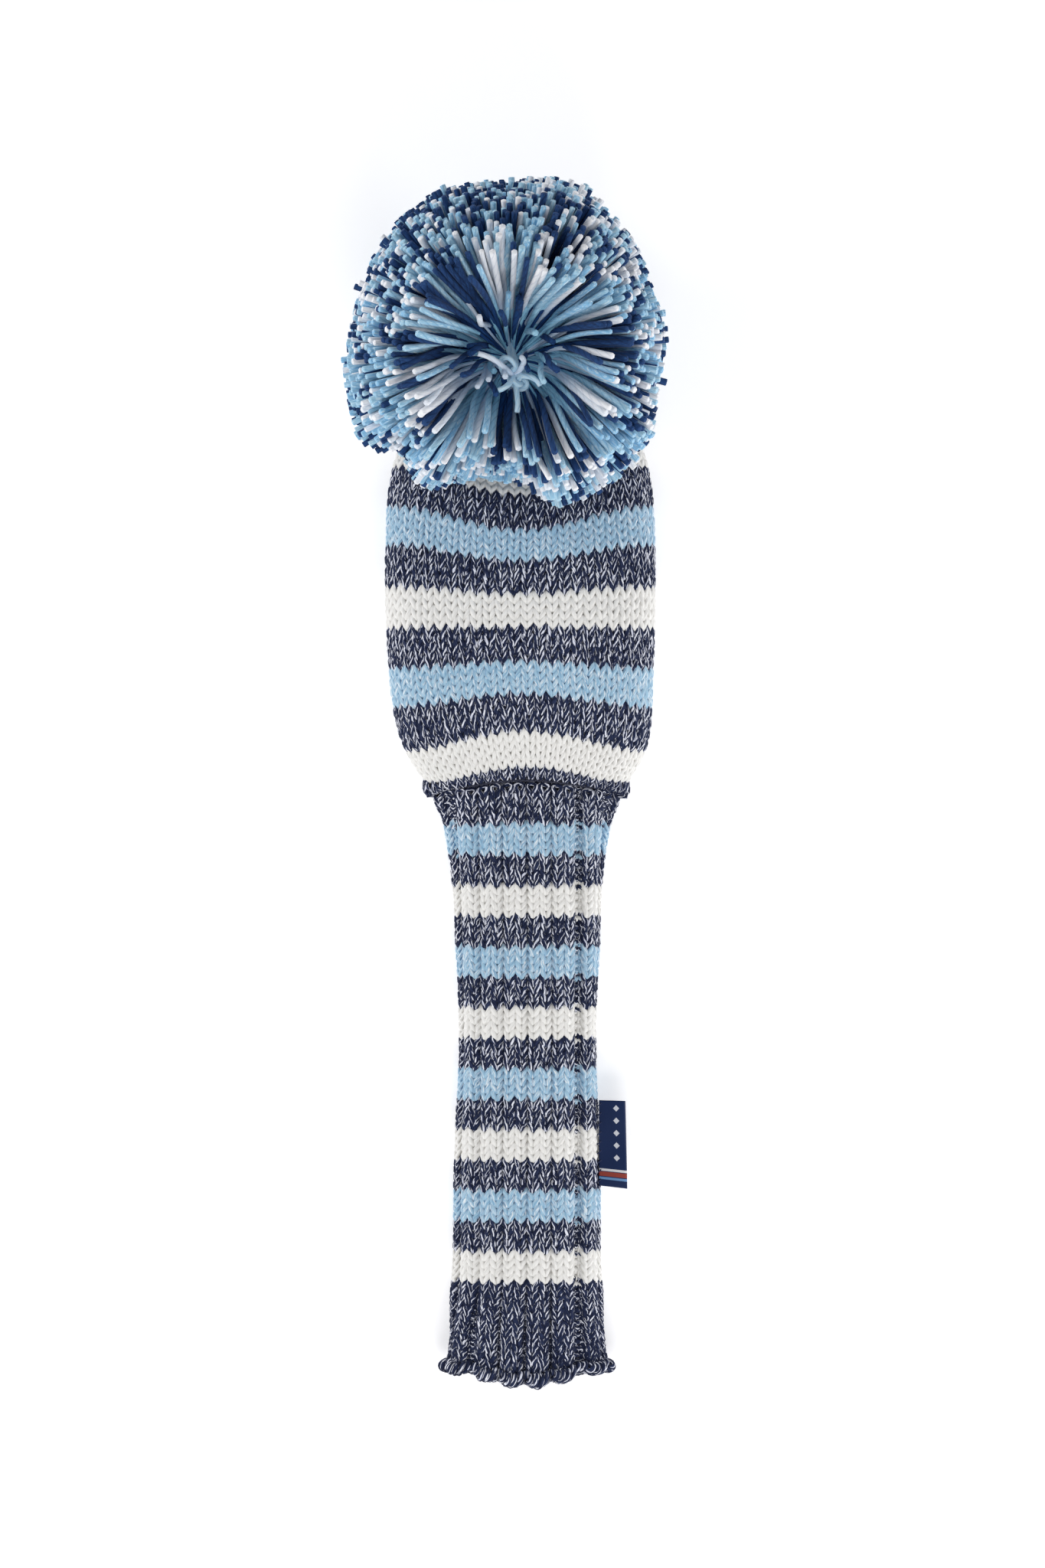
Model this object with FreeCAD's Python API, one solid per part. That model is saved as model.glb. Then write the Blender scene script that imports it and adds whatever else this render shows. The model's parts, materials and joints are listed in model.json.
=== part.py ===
"""Knitted golf driver head cover with a pom-pom, lying on its back.

Units are millimetres. The origin is the centre of the sleeve's mouth, where the club goes in. +Y runs up
the sleeve to the crown, +X is to the label's side and +Z points away from the surface the cover lies on.
Every stripe is knitted from its own length of yarn, so every stripe is its own solid.
"""

import FreeCAD
import Part

import math
import os

# ---------------------------------------------------------------- driving dimensions
SLEEVE_LENGTH = 218.2        # mouth to the top row of the ribbed sleeve
HEAD_START = 219.8           # first row of the head, beyond the linking thread
HEAD_END = 362.0             # where the crown is drawn shut
SLEEVE_ROW = SLEEVE_LENGTH / 79.0    # height of one knitted row in the sleeve
FABRIC = 4.0                 # thickness of the knitted fabric
LINING = 1.4                 # thickness of the fleece lining
CLEAR = 0.4                  # room between the fabric and what lies inside it
STRIPE_GAP = 0.1             # room between one stripe's solid and the next
MOUTH_MID = 11.6             # height of the mouth's centre above the resting surface
CORNER_POWER = 2.3           # above 2 the cross-sections are fuller than an ellipse

# Cross-sections along the cover: (y, half width, half height, centre height above the resting surface).
# The half height reaches below the surface where the fabric is pressed flat by its weight.
SLEEVE_SECTIONS = [
    (0.0, 31.2, 14.2, 11.6),
    (8.0, 30.2, 14.0, 11.4),
    (25.0, 28.6, 13.6, 11.0),
    (50.0, 27.4, 13.3, 10.7),
    (80.0, 27.2, 13.2, 10.6),
    (115.0, 25.8, 13.0, 10.4),
    (150.0, 26.3, 13.1, 10.5),
    (185.0, 28.0, 13.2, 10.7),
    (203.0, 30.6, 13.2, 10.8),
    (218.2, 33.6, 13.2, 10.9),
    (226.0, 34.6, 13.4, 11.0),
]
HEAD_SECTIONS = [
    (212.0, 34.4, 11.8, 10.1),
    (219.8, 37.4, 12.9, 11.0),
    (226.0, 41.4, 15.0, 12.6),
    (234.0, 45.0, 17.6, 14.7),
    (246.0, 47.2, 20.2, 16.9),
    (263.0, 48.4, 22.0, 18.5),
    (281.0, 49.2, 22.6, 19.0),
    (300.0, 49.3, 22.0, 18.5),
    (315.0, 48.9, 20.6, 17.4),
    (327.0, 48.0, 18.9, 16.1),
    (338.0, 45.6, 16.6, 14.6),
    (347.0, 42.2, 14.2, 13.3),
    (354.0, 35.0, 11.6, 12.3),
    (359.0, 25.0, 9.2, 12.0),
    (362.0, 14.0, 7.0, 12.0),
]
# Sideways drift of the centreline: (y, x).
CENTRELINE = [(0.0, 0.0), (60.0, 0.3), (150.0, 0.6), (219.0, 0.0), (260.0, -2.0), (300.0, -2.3),
              (360.0, -2.3)]
# How far a row's two side ends stand beyond its middle, because the stuffed tube bulges: (y, amount).
ROW_BOW = [(-5.0, 5.0), (0.0, 5.0), (14.0, 2.5), (35.0, 0.0), (195.0, 0.0), (206.0, -1.0), (219.0, -3.2),
           (226.0, -6.2), (238.0, -7.2), (251.0, -4.4), (264.0, -2.2), (276.0, -0.4), (287.0, 2.6),
           (299.0, 6.0), (310.0, 8.8), (323.0, 11.0), (334.0, 10.4), (345.0, 7.6), (354.0, 4.0), (362.0, 0.0)]

# Sleeve stripes from the mouth up: (name, rows).
SLEEVE_STRIPES = [
    ("cuff_navy", 14), ("sleeve_cream_1", 4), ("sleeve_navy_1", 4), ("sleeve_blue_1", 4),
    ("sleeve_navy_2", 4), ("sleeve_cream_2", 4), ("sleeve_navy_3", 4), ("sleeve_blue_2", 4),
    ("sleeve_navy_4", 4), ("sleeve_cream_3", 4), ("sleeve_navy_5", 4), ("sleeve_blue_3", 4),
    ("sleeve_navy_6", 4), ("sleeve_cream_4", 4), ("sleeve_navy_7", 4), ("sleeve_blue_4", 4),
    ("collar_navy", 5),
]
# Head stripes from the linking thread to the crown: (name, where it ends).
HEAD_STRIPES = [
    ("head_navy_1", 225.4), ("head_cream_1", 238.0), ("head_navy_2", 251.2), ("head_blue_1", 263.2),
    ("head_navy_3", 276.0), ("head_cream_2", 287.4), ("head_navy_4", 299.5), ("head_blue_2", 310.6),
    ("head_navy_5", 323.3), ("crown_cream", 334.5), ("crown_navy", 345.5), ("crown_blue", 354.5),
    ("crown_gather_navy", HEAD_END),
]

CAST_ON_RADIUS = 1.9         # the rolled cast-on edge round the mouth
SEAM_THREAD_WIDTH = 1.2
SEAM_THREAD_DEPTH = 1.8

ELASTIC_START = 206.0        # elastic band inside the collar
ELASTIC_WIDTH = 10.0
ELASTIC_THICKNESS = 0.9
BAND_THREAD_RADIUS = 0.45    # zigzag thread that holds the band, as two rings
LINING_START = 222.0
LINING_END = 352.0

CROWN_TIE = (-2.3, 366.0, 12.0)      # middle of the loop sewn into the crown
GATHER_RADIUS = 6.0          # drawstring round the drawn-shut crown
GATHER_CORD = 1.0
ANCHOR_RADIUS = 1.9          # knot inside the crown
ANCHOR_DEPTH = 7.5           # from the loop's middle down to that knot
STEM_RADIUS = 0.8            # doubled yarn between the crown's loop and its knot
STEM_START = 5.6
STEM_LENGTH = 2.5
POM_CENTRE = (-7.3, 378.5, 60.5)
POM_RADIUS = 57.0
POM_NECK_RADIUS = 42.0       # the yarn is shorter on the side that meets the crown
POM_NECK_ANGLE = 24.0        # angle from the tie up to which the yarn is at its shortest
POM_FULL_ANGLE = 60.0        # and from which it is at its full length
POM_CORE_RADIUS = 9.0        # the waist where the yarn is bound
BINDING_RADIUS = 1.7
POM_CORE = (-5.5, 372.5, 58.0)       # where the yarn is bound, off the ball's middle
DIMPLE_FACING = (0.05, -0.37, 0.93)  # which way the funnel over the knot opens
DIMPLE_START = (9.0, 4.0)    # funnel: (distance from the binding, radius)
DIMPLE_END = (56.0, 32.0)
KNOT_RADIUS = 2.6
KNOT_TAIL = 6.5
TAIL_HOLE_RADIUS = 2.2       # room for the hanger's tails inside the ball
TAIL_HOLE_START = 55.0       # from the ball's middle, towards the crown
TAIL_HOLE_LENGTH = 40.0
LOOP_RADIUS = 3.2            # yarn loops that hang the pom-pom from the crown
LOOP_YARN = 0.9
HANGER_RADIUS = 2.4
HANGER_LENGTH = 12.0

LABEL_TOP = 104.0
LABEL_HEIGHT = 31.0
LABEL_REACH = 8.0            # how far the folded label stands out of the sleeve
LABEL_TAPE = 0.45
LABEL_FOLD = 0.75            # inner radius of the fold
LABEL_STITCHES = 9
STITCH_RADIUS = 0.25
STITCH_LENGTH = 1.8
LABEL_ROOM = 1.3             # the fabric's edge stays clear of the label as it folds up or down

OUT = "parts"


# ---------------------------------------------------------------- shape helpers
def between(table, y, column=1):
    """Smooth value of a table's column at y, by cubic pieces whose slopes never overshoot."""
    if y <= table[0][0]:
        return table[0][column]
    if y >= table[-1][0]:
        return table[-1][column]
    i = max(k for k in range(len(table) - 1) if table[k][0] <= y)

    def rise(k):
        return (table[k + 1][column] - table[k][column]) / (table[k + 1][0] - table[k][0])

    def slope(k):
        if k == 0 or k == len(table) - 1:
            return rise(min(k, len(table) - 2))
        before, after = rise(k - 1), rise(k)
        return 0.0 if before * after <= 0 else 2 * before * after / (before + after)

    span = table[i + 1][0] - table[i][0]
    t = (y - table[i][0]) / span
    low, high = table[i][column], table[i + 1][column]
    return (low * (2 * t**3 - 3 * t**2 + 1) + high * (3 * t**2 - 2 * t**3)
            + slope(i) * span * (t**3 - 2 * t**2 + t) + slope(i + 1) * span * (t**3 - t**2))


def section_wire(sections, y, inset):
    """Closed cross-section of the cover at y, moved inwards by inset."""
    half_width = between(sections, y, 1) - inset
    half_height = between(sections, y, 2) - inset
    centre = FreeCAD.Vector(between(CENTRELINE, y), y, between(sections, y, 3))
    points = []
    count = 24
    for k in range(count):
        angle = 2 * math.pi * k / count
        across, up = math.cos(angle), math.sin(angle)
        fuller = (abs(across) ** CORNER_POWER + abs(up) ** CORNER_POWER) ** (-1 / CORNER_POWER)
        points.append(centre + FreeCAD.Vector(across * fuller * half_width, 0, up * fuller * half_height))
    curve = Part.BSplineCurve()
    curve.interpolate(Points=points, PeriodicFlag=True)
    return Part.Wire(curve.toShape())


def tube_body(sections, start, end, inset):
    """Solid inside the cover's surface moved inwards by inset, flat on the resting surface plus inset."""
    inner_stations = [s[0] for s in sections if start + 0.6 < s[0] < end - 0.6]
    wires = [section_wire(sections, y, inset) for y in [start] + inner_stations + [end]]
    body = Part.makeLoft(wires, True, False)
    below = Part.makeBox(200, 600, 100, FreeCAD.Vector(-100, -50, inset - 100))
    return body.cut(below)


def shell(sections, start, end, outer, inner):
    """Open-ended wall between two insets of the cover's surface."""
    reach = 0.5
    return tube_body(sections, start, end, outer).cut(tube_body(sections, start - reach, end + reach, inner))


def bow_curve(sections, y):
    """Line of one row seen from above: its middle at y and its ends bowed by ROW_BOW."""
    half_width = between(sections, y, 1)
    bow = between(ROW_BOW, y)
    middle = between(CENTRELINE, y)
    reach = 60.0
    steps = [k / 6.0 for k in range(-6, 7)]
    lifts = [bow * math.sin(math.pi * s / 2) ** 2 for s in steps]
    points = [FreeCAD.Vector(middle + s * half_width, y + lift, 0) for s, lift in zip(steps, lifts)]
    curve = Part.BSplineCurve()
    curve.interpolate(points)
    ends = [FreeCAD.Vector(-reach, points[0].y, 0), FreeCAD.Vector(reach, points[-1].y, 0)]
    return [Part.makeLine(ends[0], points[0]), curve.toShape(), Part.makeLine(points[-1], ends[1])], ends


def slab(sections, start, end):
    """Everything between the row lines at start and end, over the cover's whole height."""
    low, low_ends = bow_curve(sections, start)
    high, high_ends = bow_curve(sections, end)
    left = Part.makeLine(low_ends[0], high_ends[0])
    right = Part.makeLine(low_ends[1], high_ends[1])
    outline = Part.Wire(Part.__sortEdges__(low + [right] + high + [left]))
    face = Part.Face(outline)
    face.translate(FreeCAD.Vector(0, 0, -5))
    return face.extrude(FreeCAD.Vector(0, 0, 90))


def cord_ring(centre, axis, radius, cord):
    """A ring of yarn or thread."""
    return Part.makeTorus(radius, cord, FreeCAD.Vector(*centre), FreeCAD.Vector(*axis))


def save(name, shape):
    """Moves a shape from the resting surface to the mouth's centre and writes it."""
    placed = shape.copy()
    placed.translate(FreeCAD.Vector(0, 0, -MOUTH_MID))
    solids = placed.Solids
    if not solids or not all(s.isValid() and s.Volume > 0 for s in solids):
        raise RuntimeError(f"{name} is not made of sound solids")
    whole = solids[0] if len(solids) == 1 else Part.makeCompound(solids)
    whole.exportStep(os.path.join(OUT, name + ".step"))


# ---------------------------------------------------------------- knitted fabric
def knitted_stripes(sections, wall, stripes):
    """Cuts a knitted wall into its stripes; each is (name, start y, end y)."""
    for name, start, end in stripes:
        piece = wall.common(slab(sections, start + STRIPE_GAP / 2, end - STRIPE_GAP / 2))
        save(name, piece)


def sleeve_spans():
    spans, y = [], 2 * CAST_ON_RADIUS
    first_rows = SLEEVE_STRIPES[0][1]
    for name, rows in SLEEVE_STRIPES:
        end = first_rows * SLEEVE_ROW if name == SLEEVE_STRIPES[0][0] else y + rows * SLEEVE_ROW
        spans.append((name, y, end))
        y = end
    return spans


def head_spans():
    spans, y = [], HEAD_START
    for name, end in HEAD_STRIPES:
        spans.append((name, y, end))
        y = end
    return spans


def knitted_sleeve():
    wall = shell(SLEEVE_SECTIONS, -1.0, 226.0, 0.0, FABRIC)
    knitted_stripes(SLEEVE_SECTIONS, wall, sleeve_spans())


def knitted_head():
    wall = shell(HEAD_SECTIONS, 212.0, HEAD_END, 0.0, FABRIC)
    knitted_stripes(HEAD_SECTIONS, wall, head_spans())


def cast_on_edge():
    """Rolled edge of cast-on loops round the mouth."""
    wall = shell(SLEEVE_SECTIONS, -6.0, 20.0, -0.6, FABRIC + 0.2)
    save("cast_on_edge", wall.common(slab(SLEEVE_SECTIONS, 0.0, 2 * CAST_ON_RADIUS - STRIPE_GAP)))


# ---------------------------------------------------------------- what is sewn in
def linking_thread():
    """Thread that links the head to the sleeve, in the gap between their rows."""
    wall = shell(SLEEVE_SECTIONS, 210.0, 226.0, 0.6, 0.6 + SEAM_THREAD_DEPTH)
    middle = (SLEEVE_LENGTH + HEAD_START) / 2
    save("linking_thread", wall.common(slab(SLEEVE_SECTIONS, middle - SEAM_THREAD_WIDTH / 2,
                                            middle + SEAM_THREAD_WIDTH / 2)))


def elastic_band():
    """Flat elastic inside the collar that draws the cover in round the shaft."""
    outer = FABRIC + CLEAR
    inner = outer + ELASTIC_THICKNESS
    save("elastic_band", shell(SLEEVE_SECTIONS, ELASTIC_START, ELASTIC_START + ELASTIC_WIDTH, outer, inner))


def band_stitching():
    """Two rings of thread that hold the elastic band, on its inner face."""
    outer = FABRIC + CLEAR + ELASTIC_THICKNESS + 0.05
    thread = 2 * BAND_THREAD_RADIUS
    rings = []
    for y in (ELASTIC_START + 2.0, ELASTIC_START + ELASTIC_WIDTH - 2.0):
        rings.append(shell(SLEEVE_SECTIONS, y, y + thread, outer, outer + thread))
    save("band_stitching", Part.makeCompound(rings))


def head_lining():
    """Fleece bag inside the head, open towards the sleeve."""
    outer = FABRIC + CLEAR
    bag = tube_body(HEAD_SECTIONS, LINING_START, LINING_END, outer)
    hollow = tube_body(HEAD_SECTIONS, LINING_START - 1.0, LINING_END - 2.0, outer + LINING)
    save("head_lining", bag.cut(hollow))


def crown_gather_thread():
    """Drawstring through the last row of loops, pulled tight at the crown."""
    x, _, z = CROWN_TIE
    middle = (x, HEAD_END + GATHER_CORD + 0.3, z)
    save("crown_gather_thread", cord_ring(middle, (0, 1, 0), GATHER_RADIUS, GATHER_CORD))


def anchor_knot():
    """Knot inside the crown that keeps the hanging loop from pulling through."""
    x, y, z = CROWN_TIE
    save("anchor_knot", Part.makeSphere(ANCHOR_RADIUS, FreeCAD.Vector(x, y - ANCHOR_DEPTH, z)))


# ---------------------------------------------------------------- pom-pom
def tie_axis():
    """Direction from the crown's loop to the pom-pom's centre."""
    return (FreeCAD.Vector(*POM_CENTRE) - FreeCAD.Vector(*CROWN_TIE)).normalize()


def crown_loop():
    """Loop of yarn sewn through the crown."""
    x, y, z = CROWN_TIE
    ring = cord_ring(CROWN_TIE, (1, 0, 0), LOOP_RADIUS, LOOP_YARN)
    foot = FreeCAD.Vector(x, y - STEM_START, z)
    stem = Part.makeCylinder(STEM_RADIUS, STEM_LENGTH, foot, FreeCAD.Vector(0, 1, 0))
    save("crown_loop", ring.fuse(stem))


def hanger_start():
    """Middle of the pom-pom's own loop, linked through the crown's loop."""
    return FreeCAD.Vector(*CROWN_TIE) + tie_axis() * (LOOP_RADIUS + 0.4)


def pompom_hanger():
    """Tie tails that run from the crown's loop into the pom-pom, with a small ring at the crown's end."""
    axis = tie_axis()
    across = axis.cross(FreeCAD.Vector(1, 0, 0)).normalize()
    ring = cord_ring(tuple(hanger_start()), tuple(across), HANGER_RADIUS, LOOP_YARN)
    tail = Part.makeCylinder(LOOP_YARN, HANGER_LENGTH, hanger_start() + axis * HANGER_RADIUS, axis)
    save("pompom_hanger", ring.fuse(tail))


def pompom_yarn():
    """The ball of cut yarn: shorter towards the crown, with a funnel over the knot and a bound waist."""
    axis = tie_axis()
    centre = FreeCAD.Vector(*POM_CENTRE)
    profile = []
    steps = 24
    for k in range(steps + 1):
        angle = math.pi * k / steps
        blend = min(1.0, max(0.0, (math.degrees(angle) - POM_NECK_ANGLE) / (POM_FULL_ANGLE - POM_NECK_ANGLE)))
        radius = POM_NECK_RADIUS + (POM_RADIUS - POM_NECK_RADIUS) * blend * blend * (3 - 2 * blend)
        profile.append(FreeCAD.Vector(radius * math.sin(angle), 0, -radius * math.cos(angle)))
    profile[0].x = 0.0
    profile[-1].x = 0.0
    curve = Part.BSplineCurve()
    curve.interpolate(profile)
    spine = Part.makeLine(profile[-1], profile[0])
    half = Part.Face(Part.Wire([curve.toShape(), spine]))
    ball = half.revolve(FreeCAD.Vector(0, 0, 0), FreeCAD.Vector(0, 0, 1), 360)
    ball = Part.Solid(ball) if ball.ShapeType == "Shell" else ball
    turn = FreeCAD.Rotation(FreeCAD.Vector(0, 0, 1), axis)
    ball.Placement = FreeCAD.Placement(centre, turn)
    core = FreeCAD.Vector(*POM_CORE)
    near, near_radius = DIMPLE_START
    far, far_radius = DIMPLE_END
    funnel = Part.makeCone(near_radius, far_radius, far - near, core + facing() * near, facing())
    waist = cord_ring(POM_CORE, (1, 0.3, 0), POM_CORE_RADIUS, BINDING_RADIUS + 0.15)
    tail_hole = Part.makeCylinder(TAIL_HOLE_RADIUS, TAIL_HOLE_LENGTH, centre - axis * TAIL_HOLE_START, axis)
    knot_hole = Part.makeSphere(KNOT_RADIUS + 1.8, knot_place() - facing() * 1.6)
    ball = ball.cut(funnel).cut(waist).cut(tail_hole).cut(knot_hole)
    save("pompom_yarn", ball)


def facing():
    return FreeCAD.Vector(*DIMPLE_FACING).normalize()


def knot_place():
    return FreeCAD.Vector(*POM_CORE) + facing() * (POM_CORE_RADIUS + BINDING_RADIUS + KNOT_RADIUS + 0.3)


def pompom_binding():
    """Yarn wound tightly round the waist of the pom-pom."""
    save("pompom_binding", cord_ring(POM_CORE, (1, 0.3, 0), POM_CORE_RADIUS, BINDING_RADIUS))


def pompom_knot():
    """Knot that ends the binding, seen at the bottom of the funnel."""
    body = Part.makeSphere(KNOT_RADIUS, knot_place())
    tail = Part.makeCylinder(LOOP_YARN, KNOT_TAIL, knot_place() + facing() * KNOT_RADIUS / 2, facing())
    save("pompom_knot", body.fuse(tail))


# ---------------------------------------------------------------- label
def label_height():
    """Height of the label's root above the resting surface, at the widest part of the sleeve's side."""
    return between(SLEEVE_SECTIONS, LABEL_TOP - LABEL_HEIGHT / 2, 3)


def label_root():
    """Widest x of the sleeve over the label's length, plus room."""
    ys = [LABEL_TOP - LABEL_HEIGHT * k / 10 for k in range(11)]
    return max(between(SLEEVE_SECTIONS, y, 1) + between(CENTRELINE, y) for y in ys) + LABEL_ROOM


def side_label():
    """Woven tape folded once, its two ends sewn into the sleeve's side."""
    x, z = label_root(), label_height()
    outer = LABEL_FOLD + LABEL_TAPE
    fold_x = x + LABEL_REACH - outer

    def strip(radius):
        top = FreeCAD.Vector(fold_x, LABEL_TOP, z)
        bend = Part.makeCylinder(radius, LABEL_HEIGHT, top, FreeCAD.Vector(0, -1, 0))
        flat = Part.makeBox(fold_x - x, LABEL_HEIGHT, 2 * radius,
                            FreeCAD.Vector(x, LABEL_TOP - LABEL_HEIGHT, z - radius))
        return flat.fuse(bend)

    hollow = strip(LABEL_FOLD)
    beyond = Part.makeBox(4.0, LABEL_HEIGHT, 2 * LABEL_FOLD,
                          FreeCAD.Vector(x - 4.0, LABEL_TOP - LABEL_HEIGHT, z - LABEL_FOLD))
    save("side_label", strip(outer).cut(hollow).cut(beyond).removeSplitter())


def label_stitching():
    """Short stitches over the label's root that hold it to the sleeve's side."""
    x, z = label_root(), label_height()
    pitch = LABEL_HEIGHT / LABEL_STITCHES
    stitches = []
    for k in range(LABEL_STITCHES):
        y = LABEL_TOP - pitch * (k + 0.5)
        for side in (-1, 1):
            top = z + side * (LABEL_FOLD + LABEL_TAPE + 0.35)
            foot = FreeCAD.Vector(x + 0.15, y, top)
            stitches.append(Part.makeCylinder(STITCH_RADIUS, STITCH_LENGTH, foot, FreeCAD.Vector(1, 0, 0)))
    save("label_stitching", Part.makeCompound(stitches))


def main():
    os.makedirs(OUT, exist_ok=True)
    knitted_sleeve()
    knitted_head()
    cast_on_edge()
    linking_thread()
    elastic_band()
    band_stitching()
    head_lining()
    crown_gather_thread()
    anchor_knot()
    crown_loop()
    pompom_hanger()
    pompom_yarn()
    pompom_binding()
    pompom_knot()
    side_label()
    label_stitching()


main()
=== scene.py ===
"""Looks of a knitted driver head cover: every knitted row is a length of yarn in real loops, the pom-pom is
cut yarn, and the label is a folded tape. Millimetres until a mesh is written. Seeded throughout."""

import bpy
import json
import math
import numpy as np
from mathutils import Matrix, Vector
from mathutils.bvhtree import BVHTree


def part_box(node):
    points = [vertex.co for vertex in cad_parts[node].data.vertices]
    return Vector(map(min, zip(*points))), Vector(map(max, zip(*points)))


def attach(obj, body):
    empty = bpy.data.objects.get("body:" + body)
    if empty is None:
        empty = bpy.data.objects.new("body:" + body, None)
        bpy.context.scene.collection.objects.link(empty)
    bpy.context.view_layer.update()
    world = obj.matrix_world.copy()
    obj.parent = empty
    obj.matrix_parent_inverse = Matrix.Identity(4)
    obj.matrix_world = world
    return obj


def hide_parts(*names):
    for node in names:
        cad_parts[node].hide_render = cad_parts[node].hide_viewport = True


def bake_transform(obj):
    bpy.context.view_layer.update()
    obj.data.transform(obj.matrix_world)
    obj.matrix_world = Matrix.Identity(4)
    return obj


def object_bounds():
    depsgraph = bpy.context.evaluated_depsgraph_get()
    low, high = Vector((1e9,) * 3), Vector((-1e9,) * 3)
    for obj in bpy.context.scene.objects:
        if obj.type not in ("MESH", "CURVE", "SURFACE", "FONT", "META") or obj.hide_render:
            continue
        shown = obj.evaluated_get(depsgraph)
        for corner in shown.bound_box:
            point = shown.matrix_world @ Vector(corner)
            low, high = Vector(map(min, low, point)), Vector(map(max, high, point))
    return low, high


join = np.concatenate

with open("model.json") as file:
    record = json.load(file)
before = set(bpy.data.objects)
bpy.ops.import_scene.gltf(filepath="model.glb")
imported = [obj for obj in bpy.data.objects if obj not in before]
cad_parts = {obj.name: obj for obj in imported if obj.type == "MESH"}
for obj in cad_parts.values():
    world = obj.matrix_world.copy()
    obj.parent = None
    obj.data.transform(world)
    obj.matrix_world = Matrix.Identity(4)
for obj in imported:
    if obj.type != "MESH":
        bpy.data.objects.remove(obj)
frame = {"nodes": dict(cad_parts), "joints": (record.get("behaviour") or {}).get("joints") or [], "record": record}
cad_low, cad_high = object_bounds()
NODES = frame["nodes"]
SLOT = {p["node"]: p["material_slot"] for p in frame["record"]["subparts"]}
BODY = {n: b for b, members in frame["record"]["behaviour"]["bodies"].items() for n in members}
JOINT = {j["name"]: j for j in frame["joints"]}
FLOOR = cad_low.z * 1000.0

# ---- sizes
TURN = math.tau
YARN = 1.05  # radius of the knitting yarn
LOOP_DEPTH = 0.85  # how far a loop's legs stand in front of the fabric's middle
LOOP_REACH = 0.97  # half height of a loop, in rows
LEAN = 0.262  # how far a loop's legs lean, in wales
MID = -(YARN + LOOP_DEPTH)  # the fabric's middle, below the CAD's outer surface
SAMPLES = 14  # points of yarn per wale
EDGE_SAMPLES = 18  # the same in the cast-on edge
SIDES = 8  # sides of the yarn's outline
HEAD_WALES = 52
RIBS = 12  # two-by-two ribs round the sleeve
RIB_WIDTH = 8.5
RIB_WALE = 4.4  # width of a wale there, for the yarn's thickness
RECESS = 2.9  # how far the purl wales lie behind the knit ones
WING_WIDE = 0.07  # share of the way round, to each side of a wing's middle
WING_OUT = 1.5  # how far the fabric stands out beside the linking seam, at its two sides
WING_TUCK = 3.4  # how far the head's first row of loops turns in again there
WING_DROP = 3.4  # how far the head's first rows hang over the collar there
FLATTEN = 0.94  # the yarn's height as a share of its width
TWIST = TURN / 6.2  # turn of the fabric yarn's two plies, per millimetre
LOBE = 0.045  # how far the plies stand out, as a share of the yarn's radius
STRIP = 52  # rings of yarn in a cell of the bake map


def numbered(part, colours, rows):
    """Stripes in order, each numbered within its colour, with their rows of loops."""
    return [(f"{part}_{c}_{colours[:i + 1].count(c)}", rows) for i, c in enumerate(colours)]


SLEEVE = [("cuff_navy", 14), *numbered("sleeve", ["cream", "navy", "blue", "navy"] * 4, 4)[:-1],
          ("collar_navy", 5)]
HEAD = [("head_navy_1", 2), *numbered("head", ["navy", "cream", "navy", "blue"] * 2 + ["navy"], 4)[1:],
        ("crown_cream", 4), ("crown_navy", 4), ("crown_blue", 3), ("crown_gather_navy", 3)]
# How far a row's side ends stand beyond its middle: (y, amount).
BOW = np.array([(-5, 5), (0, 5), (14, 2.5), (35, 0), (195, 0), (206, -1), (219, -3.2), (226, -6.2),
                (238, -7.2), (251, -4.4), (264, -2.2), (276, -0.4), (287, 2.6), (299, 6), (310, 8.8),
                (323, 11), (334, 10.4), (345, 7.6), (354, 4), (362, 0)], float)


def bow(y):
    return np.interp(y, BOW[:, 0], BOW[:, 1])


def smooth(x):
    x = np.clip(x, 0.0, 1.0)
    return x * x * (3 - 2 * x)


def unit(v):
    return v / np.maximum(np.linalg.norm(v, axis=-1, keepdims=True), 1e-9)


def waves(seed, count, reach):
    """A smooth random function of points in space, between about -1 and 1, that varies over reach."""
    rng = np.random.default_rng(seed)
    k = rng.normal(size=(count, 3)) / reach * 2.2
    phase = rng.uniform(0, TURN, count)
    return lambda p: np.sin(p @ k.T + phase).sum(-1) * math.sqrt(2.0 / count)


# ---- the CAD's surfaces
class Solids:
    """Ray casts against a group of CAD nodes, in millimetres."""

    def __init__(self, names):
        points, faces = [], []
        for n in names:
            me = NODES[n].data
            base = len(points)
            points += [v.co * 1000.0 for v in me.vertices]
            faces += [tuple(base + i for i in p.vertices) for p in me.polygons]
        self.tree = BVHTree.FromPolygons(points, faces)

    def hit(self, origin, direction):
        found = self.tree.ray_cast(Vector(origin), Vector(direction).normalized())[0]
        return None if found is None else np.array(found)


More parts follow.
